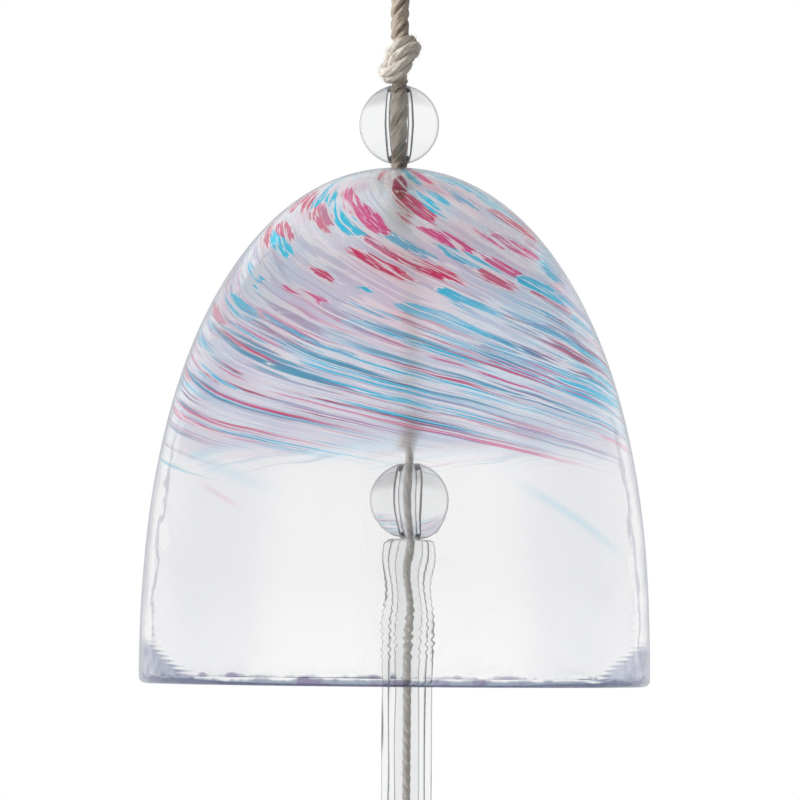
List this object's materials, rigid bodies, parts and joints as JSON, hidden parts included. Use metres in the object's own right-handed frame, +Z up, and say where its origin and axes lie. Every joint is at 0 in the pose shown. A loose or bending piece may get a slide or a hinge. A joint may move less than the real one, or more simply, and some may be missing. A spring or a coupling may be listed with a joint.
{
  "type": "wind bell",
  "caption": "Blown glass wind bell on a cotton cord, with a glass bead above it, a bead and glass tube clapper inside and a plain paper strip that catches the wind.",
  "frame": {"origin": "inside top of the hanging loop, the point that bears on a hook", "axes": "+Z up along the cord, -Y towards the side of the bell that the picture shows, +X to the right in that view"},
  "size_m": [0.08, 0.08, 0.2962],
  "materials": {
    "bell_glass": "clear blown glass with fused red, pink and turquoise streaks in its upper half",
    "bead_glass": "clear polished glass",
    "tube_glass": "clear drawn glass with fire-polished ends",
    "cord": "twisted unbleached cotton",
    "paper": "plain matt handmade paper"
  },
  "bodies": {
    "hanger": {"hanging_loop": "cord", "upper_cord": "cord", "upper_knot": "cord", "crown_cord": "cord", "stopper_knot": "cord"},
    "upper_bead": {"upper_bead": "bead_glass"},
    "bell": {"bell": "bell_glass"},
    "clapper_line": {"inner_cord": "cord", "inner_knot": "cord", "lower_cord": "cord", "tube_knot": "cord"},
    "clapper_tube": {"clapper_tube": "tube_glass"},
    "lower_bead": {"lower_bead": "bead_glass"},
    "strip_line": {"strip_cord": "cord"},
    "paper_strip": {"strip_knot": "cord", "strip_loop": "cord", "paper_strip": "paper"}
  },
  "joints": [
    {"name": "upper_bead_turn", "type": "hinge", "parent": "hanger", "child": "upper_bead", "pos_m": [0, 0, -0.04032], "axis": [0, 0, 1], "continuous": true},
    {"name": "bell_tip", "type": "hinge", "parent": "hanger", "child": "bell", "pos_m": [0, 0, -0.054], "axis": [1, 0, 0], "range_deg": [-6, 6]},
    {"name": "clapper_swing", "type": "hinge", "parent": "hanger", "child": "clapper_line", "pos_m": [0.002, 0, -0.05855], "axis": [0, -1, 0], "range_deg": [-26.1, 23.5]},
    {"name": "tube_lift", "type": "slide", "parent": "clapper_line", "child": "clapper_tube", "axis": [0, 0, 1], "range_m": [0, 0.0019]},
    {"name": "lower_bead_turn", "type": "hinge", "parent": "clapper_tube", "child": "lower_bead", "pos_m": [0.002, 0, -0.09957], "axis": [0, 0, 1], "continuous": true},
    {"name": "strip_swing", "type": "hinge", "parent": "clapper_line", "child": "strip_line", "pos_m": [0.002, 0, -0.17801], "axis": [1, 0, 0], "range_deg": [-60, 60]},
    {"name": "strip_twist", "type": "hinge", "parent": "strip_line", "child": "paper_strip", "pos_m": [0.002, 0, -0.17801], "axis": [0, 0, 1], "range_deg": [-180, 180]}
  ]
}
